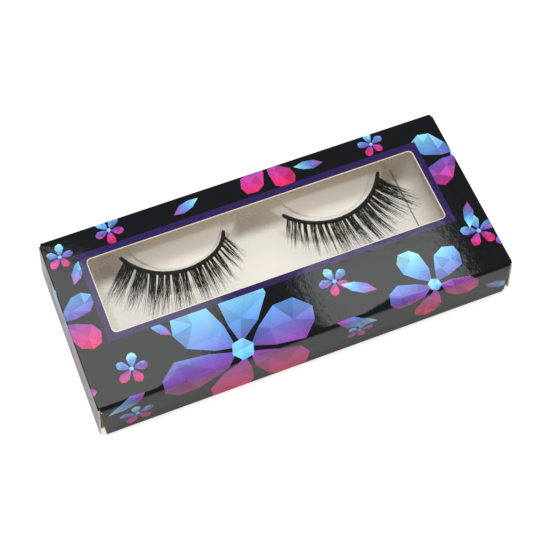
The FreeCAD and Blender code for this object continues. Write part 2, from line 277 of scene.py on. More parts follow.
# %% Blossom
# Petal outline, then two points along its rib, as shares of the blossom's radius
PETAL = ((0.08, 0.0), (0.30, 0.16), (0.62, 0.29), (0.86, 0.24), (1.0, 0.04), (0.92, -0.16), (0.70, -0.28),
         (0.34, -0.17), (0.40, 0.02), (0.72, -0.02))
PETAL_FACETS = ((0, 1, 8), (1, 2, 8), (2, 9, 8), (2, 3, 9), (3, 4, 9), (4, 5, 9), (5, 6, 9), (6, 8, 9),
                (6, 7, 8), (7, 0, 8))
PETAL_LENGTH = (0.86, 1.0)
PETAL_LIGHT = (0.66, 1.25)
POINT_STRAY = 0.02
# The ramp's length against the blossom's size, and the heart's radius, brightness and lift on the ramp
BLOSSOM_RAMP = 0.86
HEART = 0.13
HEART_LIGHT = (0.9, 1.5)
HEART_LIFT = 0.3


def pointing(degrees):
    """A unit vector of the artboard at an angle."""
    angle = math.radians(degrees)
    return Vector((math.cos(angle), math.sin(angle)))


def blossom(x, y, size, petals, turn):
    """The facets of one blossom on the artboard. turn is in degrees."""
    chance = random.Random(round(x * 31 + y * 17 + size))
    centre = Vector((x, y))
    radius = size / 2
    lean = math.radians(turn) / 6
    drop = Vector((math.sin(lean), -math.cos(lean))) * size * BLOSSOM_RAMP
    top = centre - drop / 2
    facets = []
    for petal in range(petals):
        along = pointing(turn + 360 * petal / petals) * radius * chance.uniform(*PETAL_LENGTH)
        across = Vector((-along.y, along.x))
        points = []
        for out, aside in PETAL:
            out += chance.uniform(-POINT_STRAY, POINT_STRAY)
            aside += chance.uniform(-POINT_STRAY, POINT_STRAY)
            points.append(centre + along * out + across * aside)
        facets += [facet([points[index] for index in corners], top, drop, chance.uniform(*PETAL_LIGHT))
                   for corners in PETAL_FACETS]
    ring = [centre + pointing(60 * index + turn) * radius * HEART for index in range(6)]
    facets += [facet([centre, first, second], top + drop * HEART_LIFT, drop, chance.uniform(*HEART_LIGHT))
               for first, second in zip(ring, ring[1:] + ring[:1])]
    return facets


print("a blossom of five petals has", len(blossom(0, 0, 20, 5, 0)), "facets")

# %% [markdown]
# ## Leaves
# A loose leaf is a plainer outline around one point of its rib. Its colours run from the tip down to the
# foot, whichever way it lies.

# %% Leaf
LEAF = ((0.0, 0.0), (0.34, 0.17), (0.70, 0.14), (1.0, 0.0), (0.66, -0.15), (0.30, -0.16), (0.50, 0.0))
LEAF_FACETS = ((0, 1, 6), (1, 2, 6), (2, 3, 6), (3, 4, 6), (4, 5, 6), (5, 0, 6))
LEAF_LIGHT = (0.7, 1.2)
LEAF_RAMP = 1.5


def leaf(x, y, size, turn):
    """The facets of one loose leaf on the artboard."""
    chance = random.Random(round(x * 13 + y * 29 + size))
    foot = Vector((x, y))
    along = pointing(turn) * size
    across = Vector((-along.y, along.x))
    tip = foot + along
    points = [foot + along * out + across * aside for out, aside in LEAF]
    return [facet([points[index] for index in corners], tip, -along * LEAF_RAMP, chance.uniform(*LEAF_LIGHT))
            for corners in LEAF_FACETS]


print("a leaf has", len(leaf(0, 0, 10, 0)), "facets")

# %% [markdown]
# ## Where the design lies
# One large blossom runs over the front fold, middling ones hang over the other edges, and small ones and
# loose leaves fill the rest. On the artboard the lid keeps its own coordinates and the walls carry on beyond
# its edges.

# %% Layout
# Middle, size, petals and turn of each blossom
BLOSSOMS = (
    (-17, -22, 46, 6, 12), (34, -23, 27, 5, 40), (56, 11, 27, 5, 70), (-57, 1, 26, 5, 25),
    (7, 27, 22, 5, 10), (-44, -17, 9, 5, 0), (11, -13, 9, 5, 33), (51, -13, 10, 5, 15),
    (-37, 22, 9, 5, 50), (36, 21.5, 8, 5, 20), (-51, 19, 8, 5, 5), (-58, -19, 9, 5, 60),
    (58, -17, 9, 5, 44), (13, -31, 8, 5, 70), (-46, -33, 10, 5, 20), (-40, 33, 20, 5, 35),
    (38, 34, 18, 5, 5), (-8, 37, 8, 5, 15), (22, -64, 40, 6, 30), (-32, -58, 26, 5, 10),
    (-44, -78, 10, 5, 0), (46, -82, 9, 5, 40), (0, -48, 9, 5, 20),
)
# Foot, length and turn of each leaf
LEAVES = (
    (7, -24, 12, -25), (-43, -24, 11, 205), (48, -31, 9, -30), (20, -19, 9, 150), (-20, 20, 8, 20),
    (22, 21, 8, 170), (-50, 10, 8, 60), (52, -4, 8, 250), (-32, -12, 7, 130), (-20, 30, 9, 200),
)
design = [piece for values in BLOSSOMS for piece in blossom(*values)]
design += [piece for values in LEAVES for piece in leaf(*values)]
print("facets in the design:", len(design))

# %% [markdown]
# ## One flat sheet
# A carton starts as a flat sheet: print it, cut it, crease it, fold it. The script does the same. A
# constrained Delaunay triangulation cuts the sheet's outline along every facet, along the window and along
# the creases, and reports which shapes each triangle lies in, so the last one drawn gives its colour.

# %% Cut a sheet
INK_BLACK = linear("#16181b")
ONLY_INSIDE = 1
CUT_TOLERANCE = 1e-4


def plain(colour):
    """A paint of one colour all over."""
    return lambda point: colour


def cut_sheet(outline, shapes, holes, creases):
    """Triangulate an outline along shapes, holes and creases. Returns points, triangles and their paints."""
    loops = [outline] + [corners for corners, paint in shapes] + holes
    paints = [plain(INK_BLACK)] + [paint for corners, paint in shapes]
    points = []
    faces = []
    for loop in loops:
        faces.append(list(range(len(points), len(points) + len(loop))))
        points += [Vector(point) for point in loop]
    edges = []
    for start, end in creases:
        edges.append((len(points), len(points) + 1))
        points += [Vector(start), Vector(end)]
    flat, _, triangles, _, _, sources = delaunay_2d_cdt(points, edges, faces, ONLY_INSIDE, CUT_TOLERANCE)
    kept = [(triangle, max(inside)) for triangle, inside in zip(triangles, sources)
            if 0 in inside and max(inside) < len(paints)]
    used = sorted({index for triangle, top in kept for index in triangle})
    place = {index: position for position, index in enumerate(used)}
    return ([flat[index] for index in used], [[place[index] for index in triangle] for triangle, top in kept],
            [paints[top] for triangle, top in kept])


square = [(0, 0), (1, 0), (1, 1), (0, 1)]
print("a plain square is cut into", len(cut_sheet(square, [], [], [])[1]), "triangles")

# %% [markdown]
# ## Pieces of mesh
# Every piece below ends as a mesh object with its finishes. Points come in millimetres and are scaled to
# metres in one place. A piece's modifiers are baked into its mesh at once, so that the mesh itself holds what
# is seen, and edges that turn sharply keep a crisp shade.

# %% Mesh pieces


def show(name, mesh, materials):
    """An object of the scene from a mesh and its finishes."""
    for material in materials:
        mesh.materials.append(material)
    piece = bpy.data.objects.new(name, mesh)
    bpy.context.scene.collection.objects.link(piece)
    return piece


def mesh_piece(name, points, faces, materials):
    """A smooth-shaded mesh object from points in millimetres."""
    mesh = bpy.data.meshes.new(name)
    mesh.from_pydata([Vector(point) * MM for point in points], [], faces, shade_flat=False)
    return show(name, mesh, materials)


def settle(piece, sharp_degrees):
    """Bake a piece's modifiers into its mesh and keep its cut edges sharp."""
    graph = bpy.context.evaluated_depsgraph_get()
    piece.data = bpy.data.meshes.new_from_object(piece.evaluated_get(graph))
    piece.modifiers.clear()
    piece.data.set_sharp_from_angle(angle=math.radians(sharp_degrees))


print("one millimetre is", MM, bpy.context.scene.unit_settings.length_unit.lower())

# %% [markdown]
# ## From sheet to board
# A fold function carries the flat points to their places in space, and Solidify adds the board's thickness
# inwards and gives the back and the cut rim their own finishes. In a crease the print runs on round the bend,
# so no cut shows there.

# %% Board
BOARD_FINISHES = (printed, board_back, board_edge)
PRINT, BACK, EDGE = range(3)
front_low, front_high = box_mm("front_wall")
rear_low, rear_high = box_mm("rear_wall")
panel_low, panel_high = box_mm("right_end_panel")
BOARD = (front_high - front_low).y
# A hundredth thinner than the solid, so that the lid's back doesn't lie in the film's plane
BOARD_DRAWN = BOARD - 0.01
# The lid runs on almost to the middle of the end crease, where the closure's sheet takes over
LID_END = panel_low.x + BOARD / 2 - 0.05
CREASE_REACH = 0.1
BOARD_SHARP = 40


def is_crease(point):
    """Whether a point of the board's rim lies in a crease, where the print runs on round the bend."""
    beside_lid = abs(point.x) > LID_END - CREASE_REACH and point.z > front_high.z
    beside_wall = front_high.x - CREASE_REACH < abs(point.x) < LID_END and abs(point.y) > rear_low.y
    return beside_lid or beside_wall


def board_piece(name, sheet, fold):
    """Fold a cut sheet into a piece of board with its print outside."""
    flat, triangles, paints = sheet
    piece = mesh_piece(name, [fold(point) for point in flat], triangles, BOARD_FINISHES)
    colours = piece.data.color_attributes.new("print", "FLOAT_COLOR", "CORNER")
    for polygon, paint in zip(piece.data.polygons, paints):
        for corner in polygon.loop_indices:
            colours.data[corner].color = paint(flat[piece.data.loops[corner].vertex_index])
    solid = piece.modifiers.new("board", "SOLIDIFY")
    solid.thickness = BOARD_DRAWN * MM
    solid.offset = -1
    solid.use_even_offset = True
    solid.material_offset = BACK
    solid.material_offset_rim = EDGE
    settle(piece, BOARD_SHARP)
    for polygon in piece.data.polygons:
        if polygon.material_index == EDGE and is_crease(polygon.center / MM):
            polygon.material_index = PRINT
    print(name, "has", len(triangles), "printed triangles")
    return piece


print("the board is", round(BOARD, 2), "mm thick")

# %% [markdown]
# ## The sleeve
# Lid, front wall, base, rear wall and glue flap are one sheet on the real carton, so they are one here. The
# fold function walks the sheet from the foot of the rear wall over the lid, the front and the base to the
# flap: straight runs, and quarter turns at the long creases. The sizes come from the frame's own boxes.

# %% Fold of the sleeve
lid_low, lid_high = box_mm("top_panel")
base_low, base_high = box_mm("base_panel")
flap_low, flap_high = box_mm("glue_flap")
FOLD = lid_high.z - front_high.z
QUARTER = FOLD * math.pi / 2
FOLD_STEPS = 6

# Straight runs of the outer face, in walking order, with a quarter turn after each but the last
RUNS = (
    rear_high.z - rear_low.z,
    lid_high.y - lid_low.y - 2 * FOLD,
    front_high.z - front_low.z,
    base_high.y - base_low.y - 2 * FOLD,
    flap_high.z - flap_low.z,
)
ARTBOARD_TOP = RUNS[0] + QUARTER + RUNS[1] / 2


def wrap(point):
    """Carry a point of the artboard onto the outer face of the sleeve."""
    left = ARTBOARD_TOP - point.y
    y, z, heading = lid_high.y, rear_low.z, math.pi / 2
    for run in RUNS:
        step = left if run is RUNS[-1] else min(left, run)
        y += step * math.cos(heading)
        z += step * math.sin(heading)
        left -= step
        if left <= 0 or run is RUNS[-1]:
            break
        turn = min(left, QUARTER) / FOLD
        y += FOLD * (math.sin(heading + turn) - math.sin(heading))
        z -= FOLD * (math.cos(heading + turn) - math.cos(heading))
        heading += turn
        left -= turn * FOLD
    return point.x, y, z


def wrap_levels():
    """Artboard heights at which the sheet bends: the creases, each in a few steps."""
    level = ARTBOARD_TOP
    levels = []
    for run in RUNS[:-1]:
        level -= run
        levels += [level - QUARTER * step / FOLD_STEPS for step in range(FOLD_STEPS + 1)]
        level -= QUARTER
    return levels


print("lid corner folds to", [round(value, 2) for value in wrap(Vector((0, RUNS[1] / 2)))])

# %% [markdown]
# ## Outline of the sleeve
# The outline steps in at the walls, where the real die leaves a notch so that the flaps clear the creases. It
# is written as half widths down the sheet and then mirrored, so that both ends are alike.

# %% Sleeve outline
LID_CORNER = 0.9
FLAP_SLOPE = 4.0


def sleeve_outline():
    """Half widths of the sheet against artboard height, turned into a loop."""
    lid, base, wall, flap = LID_END, base_high.x, front_high.x, flap_high.x
    rear_foot = ARTBOARD_TOP
    lid_rear = rear_foot - RUNS[0]
    lid_front = lid_rear - RUNS[1] - 2 * QUARTER
    wall_foot = lid_front - RUNS[2]
    base_rear = wall_foot - RUNS[3] - 2 * QUARTER
    end = base_rear - RUNS[4]
    right = [(wall, rear_foot), (wall, lid_rear), (lid - LID_CORNER / 2, lid_rear - LID_CORNER / 2),
             (lid, lid_rear - 2 * LID_CORNER), (lid, lid_front + 2 * LID_CORNER),
             (lid - LID_CORNER / 2, lid_front + LID_CORNER / 2), (wall, lid_front), (wall, wall_foot),
             (base, wall_foot - LID_CORNER), (base, base_rear + LID_CORNER), (flap, base_rear),
             (flap - FLAP_SLOPE, end)]
    return right[::-1] + [(-x, y) for x, y in right]


print("the sleeve's outline has", len(sleeve_outline()), "corners")

# %% [markdown]
# ## Window
# The window has small round corners, and a plain violet border is printed around it. Along its cut the die
# has crushed the print, which leaves a pale rim. Cutting it in the flat sheet is simpler than a boolean on
# the folded box, and it keeps the print's facets clean.

# %% Window
film_low, film_high = box_mm("window_film")
FILM_MARGIN = 5.0
WINDOW_CORNER = 1.1
BORDER = 2.0
BORDER_REAR = 2.2
BORDER_VIOLET = linear("#302559")
CUT_RIM = 0.17
CRUSHED_PRINT = linear("#e6dfd2")
CORNER_STEPS = 6


def arc(x, y, radius, start):
    """A quarter arc from the angle start, in degrees, anticlockwise."""
    angles = [math.radians(start + 90 * step / CORNER_STEPS) for step in range(CORNER_STEPS + 1)]
    return [(x + radius * math.cos(angle), y + radius * math.sin(angle)) for angle in angles]


def rounded_rectangle(low, high, radius):
    """The loop of a rectangle with round corners."""
    left = low[0] + radius
    right = high[0] - radius
    front = low[1] + radius
    rear = high[1] - radius
    corners = ((right, rear, 0), (left, rear, 90), (left, front, 180), (right, front, 270))
    return [point for x, y, start in corners for point in arc(x, y, radius, start)]


window_low = (film_low.x + FILM_MARGIN, film_low.y + FILM_MARGIN)
window_high = (film_high.x - FILM_MARGIN, film_high.y - FILM_MARGIN)
window_hole = rounded_rectangle(window_low, window_high, WINDOW_CORNER)
rim_low = [value - CUT_RIM for value in window_low]
rim_high = [value + CUT_RIM for value in window_high]
cut_rim = rounded_rectangle(rim_low, rim_high, WINDOW_CORNER + CUT_RIM)
border_low = (window_low[0] - BORDER, window_low[1] - BORDER)
border_high = (window_high[0] + BORDER, window_high[1] + BORDER_REAR)
border = [border_low, (border_high[0], border_low[1]), border_high, (border_low[0], border_high[1])]
print("window", [round(high - low, 2) for low, high in zip(window_low, window_high)], "mm")

# %% [markdown]
# ## Cutting the sleeve
# Print, border, rim and creases are cut into the sheet at once, and then it is folded. What is drawn later
# lies on top, so the border covers the blossoms and the pale rim covers the border.

# %% Sleeve
# How far a crease line runs on past the outline
OVERRUN = 1.0
shapes = design + [(border, plain(BORDER_VIOLET)), (cut_rim, plain(CRUSHED_PRINT))]
creases = [((-lid_high.x - OVERRUN, level), (lid_high.x + OVERRUN, level)) for level in wrap_levels()]
sleeve = board_piece("carton_sleeve", cut_sheet(sleeve_outline(), shapes, [window_hole], creases), wrap)
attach(sleeve, "carton")
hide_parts("top_panel", "base_panel", "front_wall", "rear_wall", "glue_flap")

# %% [markdown]
# ## Fold of an end closure
# Each end is shut by a panel that hangs from the lid, with a tuck tab that slips inside. The sheet walks over
# the crease, down the panel and round the lower fold, and then follows the tab, which is bowed about the
# crease line so that it can swing out without scraping. Board is springy, so a tucked panel stands out a few
# degrees, and the whole sheet is turned by that at the end.

# %% Fold of a closure
tab_low, tab_high = box_mm("right_tuck_tab")
CREASE = BOARD / 2
CREASE_X = panel_low.x + CREASE
CREASE_Z = panel_high.z - CREASE
CREASE_QUARTER = CREASE * math.pi / 2
PANEL_LEAN = math.radians(4.8)
TAB_FOLD = 0.5
TAB_RADIUS = CREASE_Z - tab_low.z
PANEL_RUN = TAB_RADIUS - TAB_FOLD
TAB_QUARTER = TAB_FOLD * math.pi / 2


def spring(x, y, z):
    """Turn a point of an upright panel about the crease, out to where the board springs."""
    out = x - CREASE_X
    up = z - CREASE_Z
    return (CREASE_X + out * math.cos(PANEL_LEAN) - up * math.sin(PANEL_LEAN), y,
            CREASE_Z + out * math.sin(PANEL_LEAN) + up * math.cos(PANEL_LEAN))


def hang(point):
    """Carry an artboard point beyond the lid's right edge onto the crease, the end panel and its tab."""
    left = point.x - CREASE_X
    if left < CREASE_QUARTER:
        turn = left / CREASE
        return spring(CREASE_X + CREASE * math.sin(turn), point.y, CREASE_Z + CREASE * math.cos(turn))
    left -= CREASE_QUARTER
    if left < PANEL_RUN:
        return spring(CREASE_X + CREASE, point.y, CREASE_Z - left)
    left -= PANEL_RUN
    if left < TAB_QUARTER:
        turn = left / TAB_FOLD
        fold_x = CREASE_X + CREASE - TAB_FOLD
        fold_z = CREASE_Z - PANEL_RUN
        return spring(fold_x + TAB_FOLD * math.cos(turn), point.y, fold_z - TAB_FOLD * math.sin(turn))
    turn = math.asin((TAB_FOLD - CREASE) / TAB_RADIUS) + (left - TAB_QUARTER) / TAB_RADIUS
    return spring(CREASE_X - TAB_RADIUS * math.sin(turn), point.y, CREASE_Z - TAB_RADIUS * math.cos(turn))


def hang_left(point):
    """The same beyond the lid's left edge, as a mirror image."""
    x, y, z = hang(Vector((-point.x, point.y)))
    return -x, y, z


print("the panel runs", round(PANEL_RUN, 2), "mm down from its crease")

# %% [markdown]
# ## Cutting the closures
# The print runs over the crease onto the panel, so both closures are cut from the same artboard as the lid,
# one on its right and one on its left. The tab gets wide round corners, as a die gives it so that it finds
# its way in.

# %% Closures
TAB_END = math.asin((CREASE_X - tab_low.x) / TAB_RADIUS) + PANEL_LEAN
TAB_SWEEP = TAB_END - math.asin((CREASE + TAB_FOLD) / TAB_RADIUS)
TAB_CORNER = 3.5
TAB_STEPS = 10
PANEL_CORNER = 1.3
CREASE_STEPS = 4


def closure_sheet(sign):
    """The closure's sheet, on the right of the artboard for sign 1 and on the left for sign -1."""
    panel_foot = CREASE_X + CREASE_QUARTER + PANEL_RUN
    tab_root = panel_foot + TAB_QUARTER
    tab_end = tab_root + TAB_SWEEP * TAB_RADIUS
    half = panel_high.y
    tab_half = tab_high.y
    start = CREASE_X - CREASE_QUARTER
    shoulder = CREASE_X + CREASE_QUARTER + PANEL_CORNER
    inset = half - PANEL_CORNER
    outline = [(start, -inset)] + arc(shoulder, -inset, PANEL_CORNER, 180)
    outline += [(panel_foot, -half), (tab_root, -tab_half)]
    outline += arc(tab_end - TAB_CORNER, -tab_half + TAB_CORNER, TAB_CORNER, 270)
    outline += arc(tab_end - TAB_CORNER, tab_half - TAB_CORNER, TAB_CORNER, 0)
    outline += [(tab_root, tab_half), (panel_foot, half)]
    outline += arc(shoulder, inset, PANEL_CORNER, 90) + [(start, inset)]
    bends = range(1 - CREASE_STEPS, CREASE_STEPS + 1)
    levels = [CREASE_X + CREASE_QUARTER * step / CREASE_STEPS for step in bends]
    levels += [panel_foot + TAB_QUARTER * step / CREASE_STEPS for step in range(CREASE_STEPS + 1)]
    levels += [tab_root + TAB_SWEEP * TAB_RADIUS * step / TAB_STEPS for step in range(1, TAB_STEPS)]
    creases = [((sign * level, -half - OVERRUN), (sign * level, half + OVERRUN)) for level in levels]
    loop = [(sign * x, y) for x, y in outline]
    return cut_sheet(loop if sign > 0 else loop[::-1], design, [], creases)


for side, sign, fold in (("right", 1, hang), ("left", -1, hang_left)):
    closure = board_piece(f"{side}_end_closure", closure_sheet(sign), fold)
    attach(closure, f"{side}_closure")
    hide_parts(f"{side}_end_panel", f"{side}_tuck_tab")

# %% [markdown]
# ## Dust flaps
# Behind each end panel two short flaps fold in from the walls and keep dust out. They show when the end is
# open. Each is a tapered tongue of the same board with a rounded free corner, so it is cut and thickened the
# same way, and stood upright in its node's box.

# %% Dust flaps
FLAP_TOP_DROP = 5.2
FLAP_FOOT_RISE = 2.2
FLAP_CORNER = 2.0
FLAP_CORNER_RISE = 1.4
# The share of its taper that a flap has reached where the free corners begin
FLAP_TAPER = 0.8


def dust_flap(side, end, sign_x, sign_y):
    """Cut one flap and stand it in its place."""
    low, high = box_mm(f"{side}_{end}_dust_flap")
    reach = high.y - low.y
    outline = [(0, low.z), (reach - FLAP_CORNER, low.z + FLAP_FOOT_RISE * FLAP_TAPER),
               (reach, low.z + FLAP_FOOT_RISE + FLAP_CORNER_RISE),
               (reach, high.z - FLAP_TOP_DROP - FLAP_CORNER_RISE),
               (reach - FLAP_CORNER, high.z - FLAP_TOP_DROP * FLAP_TAPER), (0, high.z)]
    outer_x = high.x if sign_x > 0 else low.x
    root_y = low.y if sign_y < 0 else high.y

    def stand(point):
        return outer_x, root_y - sign_y * point.x, point.y

    flat, triangles, paints = cut_sheet(outline, [], [], [])
    # Standing up turns two of the four flaps inside out
    if sign_x == sign_y:
        triangles = [triangle[::-1] for triangle in triangles]
    flap = board_piece(f"{side}_{end}_flap", (flat, triangles, paints), stand)
    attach(flap, f"{side}_{end}_flap")
    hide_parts(f"{side}_{end}_dust_flap")


for side, sign_x in (("right", 1), ("left", -1)):
    for end, sign_y in (("front", -1), ("rear", 1)):
        dust_flap(side, end, sign_x, sign_y)

# %% [markdown]
# ## Clear film
# A patch of clear polyester is glued behind the window. Light has to cross it both ways, so it is a mix of a
# transparent shader and a mirror, weighted by the slant: almost clear seen straight on, bright along the
# surface. Glass with refraction would darken the inside. Straight on the mirror is fainter and softer than a
# real film's, because a sharp image of the lamps would lie over the lashes.

# %% Clear film
FILM_MIRROR = 0.015
FILM_SOFTNESS = 0.2


def when_seen(tree, weight):
    """A weight that counts where a sheet is seen, and not for light on its way to what lies below.

    That light would bounce on inside the case or be scattered onwards, so little of it is lost.
    """
    rays = add(tree, "LightPath", {})
    lighting = add(tree, "Math", {0: rays.outputs["Is Diffuse Ray"], 1: rays.outputs["Is Shadow Ray"]},
                   operation="ADD", use_clamp=True)
    seen = add(tree, "Math", {0: 1.0, 1: lighting}, operation="SUBTRACT")
    return add(tree, "Math", {0: weight, 1: seen}, operation="MULTIPLY")


def slant_weight(tree, straight_on):
    """How much a thin clear sheet mirrors from either side: a little straight on, all along the surface."""
    slant = add(tree, "LayerWeight", {"Blend": 0.5}).outputs["Facing"]
    fifth = add(tree, "Math", {0: slant, 1: 5.0}, operation="POWER")
    return when_seen(tree, add(tree, "MapRange", {"Value": fifth, "To Min": straight_on}))


def clear_film():
    material, tree = new_material("clear_polyester_film")
    see_through = add(tree, "BsdfTransparent", {"Color": linear("#fdfdfc")})
    mirror = add(tree, "BsdfGlossy", {"Color": linear("#ffffff"), "Roughness": FILM_SOFTNESS})
    film = add(tree, "MixShader", {0: slant_weight(tree, FILM_MIRROR), 1: see_through, 2: mirror})
    return coated(material, film)


polyester = clear_film()
print("made", polyester.name)

# %% [markdown]
# ## Film sheet
# The film is flat in its glued margin and very slightly slack in the middle, which bends what it mirrors. A
# cloth simulation could give that, but a dip of a few hundredths with a faint ripple is a short formula.

# %% Film
FILM_SLACK = 0.04
FILM_RIPPLE = 0.2
# The ripple is where two trains of waves cross, each with its waves along and across the sheet
RIPPLE_WAVES = ((9, 2), (3, 5))
FILM_GRID = (60, 24)


def slack_sheet(name, low, high, material):
    """A rectangular sheet that dips a little towards its middle, with a faint ripple."""
    columns, rows = FILM_GRID
    points = []
    for row in range(rows + 1):
        for column in range(columns + 1):
            u = column / columns
            v = row / rows
            dip = (math.sin(math.pi * u) * math.sin(math.pi * v)) ** 0.5
            first, second = [math.sin(along * u + across * v) for along, across in RIPPLE_WAVES]
            ripple = 1 - FILM_RIPPLE + FILM_RIPPLE * first * second
            level = high.z - dip * FILM_SLACK * ripple
            points.append((between(low.x, high.x, u), between(low.y, high.y, v), level))
    width = columns + 1
    faces = [(start, start + 1, start + 1 + width, start + width)
             for row in range(rows) for start in range(row * width, row * width + columns)]
    return mesh_piece(name, points, faces, [material])


film = slack_sheet("window_film_sheet", film_low, film_high, polyester)
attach(film, "carton")
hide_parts("window_film")
print("film", [round(value, 2) for value in (film_high - film_low)], "mm")

# %% [markdown]
# ## Formed PET
# The tray is thin PET sheet drawn over a mould. It is clear, with a haze on the level and gently sloped
# parts, which stay thick while steep walls are drawn thin, and its rounded edges show as fine lines. The haze
# is a thin veil of diffuse white over a transparent shader, weighted by how far the surface faces up.

# %% Formed PET
HAZE_THIN = 0.07
HAZE_THICK = 0.32
# Less haze for the painted shade line at the foot of the right end wall
HAZE_FOOT_SHADE = 0.05
# Upward part of the normal where the haze begins and where it is full
STEEP = 0.08
GENTLE = 0.26
TRAY_MIRROR = 0.02
TRAY_SOFTNESS = 0.25


def formed_pet(name, tint, haze_thick):
    """Clear sheet with a haze that grows from its steep to its level parts."""
    material, tree = new_material(name)
    facing = add(tree, "TexCoord", {}).outputs["Normal"]
    upwards = add(tree, "SeparateXYZ", {"Vector": facing}).outputs["Z"]
    haze = add(tree, "MapRange", {
        "Value": upwards, "From Min": STEEP, "From Max": GENTLE, "To Min": HAZE_THIN, "To Max": haze_thick})
    clear = add(tree, "BsdfTransparent", {"Color": linear(tint)})
    veil = add(tree, "BsdfDiffuse", {"Color": linear("#fbf8f3")})
    body = add(tree, "MixShader", {0: when_seen(tree, haze), 1: clear, 2: veil})
    mirror = add(tree, "BsdfGlossy", {"Color": linear("#ffffff"), "Roughness": TRAY_SOFTNESS})
    sheet = add(tree, "MixShader", {0: slant_weight(tree, TRAY_MIRROR), 1: body, 2: mirror})
    return coated(material, sheet)


clear_pet = formed_pet("thermoformed_clear_pet", "#fdfdfd", HAZE_THICK)
# The second finish is a brownish see-through tint: painted shade along the foot of the right end wall
foot_shade_pet = formed_pet("clear_pet_painted_foot_shade", "#bcae9f", HAZE_FOOT_SHADE)
print("made", clear_pet.name, "and", foot_shade_pet.name)

# %% [markdown]
# ## Tray
# Light would cross a solid wall's two faces at every pass, so the piece is one skin: the upper side of the
# node's own mesh. The foot of the right end wall gets a darker finish, a brownish see-through tint with less
# haze, which paints a thin line of shade there; the left foot is left clear.

# %% Tray
# Upward part of the normal above which a face is level, and below which it is upright
LEVEL = 0.999
UPRIGHT = 0.02
WELD = 0.001
# The painted shade line at the foot of the right end wall: where it begins, how far it reaches and its top
END_FOOT = 41.95
FOOT_SHADE_WIDTH = 0.32
FOOT_TOP = 1.3


def is_painted_foot_shade(face):
    """Whether a face of the tray lies in the painted shade line at the foot of the right end wall."""
    middle = face.calc_center_median() / MM
    return END_FOOT < middle.x < END_FOOT + FOOT_SHADE_WIDTH and middle.z < FOOT_TOP and face.normal.z < LEVEL


def upper_skin(node, name, materials):
    """The upper side of a formed sheet, from a copy of its node's mesh, with its level parts shaded flat."""
    skin = bmesh.new()
    skin.from_mesh(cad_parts[node].data)
    bmesh.ops.remove_doubles(skin, verts=skin.verts, dist=WELD * MM)
    skin.normal_update()
    under = []
    for face in skin.faces:
        upright = abs(face.normal.z) < UPRIGHT
        inward = face.normal.dot(face.calc_center_median()) < 0
        if (upright and inward) or (face.normal.z < 0 and not upright):
            under.append(face)
    bmesh.ops.delete(skin, geom=under, context="FACES")
    for face in skin.faces:
        face.smooth = True
        # Faces at the foot of the right end wall get the painted shade finish
        face.material_index = 1 if is_painted_foot_shade(face) else 0
    for edge in skin.edges:
        edge.smooth = len({face.normal.z > LEVEL for face in edge.link_faces}) == 1
    mesh = bpy.data.meshes.new(name)
    skin.to_mesh(mesh)
    skin.free()
    return show(name, mesh, materials)


tray = upper_skin("lash_tray", "lash_tray_sheet", (clear_pet, foot_shade_pet))
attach(tray, "tray")
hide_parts("lash_tray")
print("tray faces:", len(tray.data.polygons))

# %% [markdown]
# ## Band and tack
# A strip lash is knotted onto a thin cotton cord that is dipped in black, so it is dark and half glossy, and
# the thread still shows as small bumps. It lies on the tray's ledge, on a thin line of clear acrylic tack: a
# soft gel that is seen through, with a faint gloss.

# %% Band and tack
THREAD = 0.3
THREAD_DEPTH = 0.05


def dyed_band():
    material, tree = new_material("black_dipped_cotton_band")
    place = add(tree, "TexCoord", {}).outputs["Object"]
    thread = add(tree, "TexNoise", {"Vector": place, "Scale": per_metre(THREAD), "Detail": 2.0})
    twist = add(tree, "Bump", {"Height": thread, "Distance": THREAD_DEPTH * MM})
    tone = add(tree, "Mix", {0: thread, 6: linear("#0c0c0e"), 7: linear("#1e1d20")}, data_type="RGBA")
    cotton = add(tree, "BsdfPrincipled", {"Base Color": tone.outputs[2], "Roughness": 0.42, "Normal": twist})
    return coated(material, cotton)


def clear_tack():
    material, tree = new_material("clear_acrylic_tack")
    clear = add(tree, "BsdfTransparent", {"Color": linear("#f6f4ee")})
    gel = add(tree, "BsdfPrincipled", {"Base Color": linear("#f2efe6"), "Roughness": 0.18})
    weight = add(tree, "Fresnel", {"IOR": 1.47})
    tack = add(tree, "MixShader", {0: weight, 1: clear, 2: gel})
    return coated(material, tack)


cotton = dyed_band()
tack = clear_tack()
print("made", cotton.name, "and", tack.name)

# %% [markdown]
# ## Where the lashes lie
# The band follows the tray's ledge, an arc around the platform, so one function gives any point of it. A lash
# is laid by hand, so each lies a little off the middle of its ledge, and the inner end of the left one is
# drawn in towards the plateau.

# %% Line of a band
# Middle of the arc that the right band follows
PLATFORM_X = 21.0
PLATFORM_Y = 23.6
band_low, band_high = box_mm("right_lash_band")
BAND_WIDTH = 0.9
BAND_SWEEP = math.radians(117)
BAND_TURN = math.radians(6)
BAND_MIDDLE = PLATFORM_Y - band_low.y - BAND_WIDTH / 2
BAND_Z = (band_low.z + band_high.z) / 2
# The share of the band that is drawn in
DRAWN_SHARE = 0.22

# Each lash as it was laid: its shift off the middle of the ledge, how far its inner end is drawn in, the seed
# of its hairs and how much they curl outwards, in degrees
Lash = namedtuple("Lash", "name side shift drawn_in seed curl")
LASHES = (
    Lash("left", -1, Vector((-0.15, 0.15, 0)), 1.3, 11, 6.0),
    Lash("right", 1, Vector((-0.3, -0.35, 0)), 0.0, 5, 26.0),
)


def band_point(lash, share, radius):
    """A point of the ledge, share of the way from the inner to the outer end, at a radius."""
    angle = -math.pi / 2 + BAND_TURN + BAND_SWEEP * (share - 0.5)
    radius -= lash.drawn_in * max(0.0, 1 - share / DRAWN_SHARE) ** 2
    out = PLATFORM_X + radius * math.cos(angle)
    return lash.shift + Vector((lash.side * out, PLATFORM_Y + radius * math.sin(angle), 0))


print("band middle radius", round(BAND_MIDDLE, 2), "mm")

# %% [markdown]
# ## Lash bands
# The band is swept along that line as a small rounded bar with blunt ends. A curve with a bevel would do as
# well, but points on rings keep it a plain mesh. The tack strips keep their own solids and only get a finish.

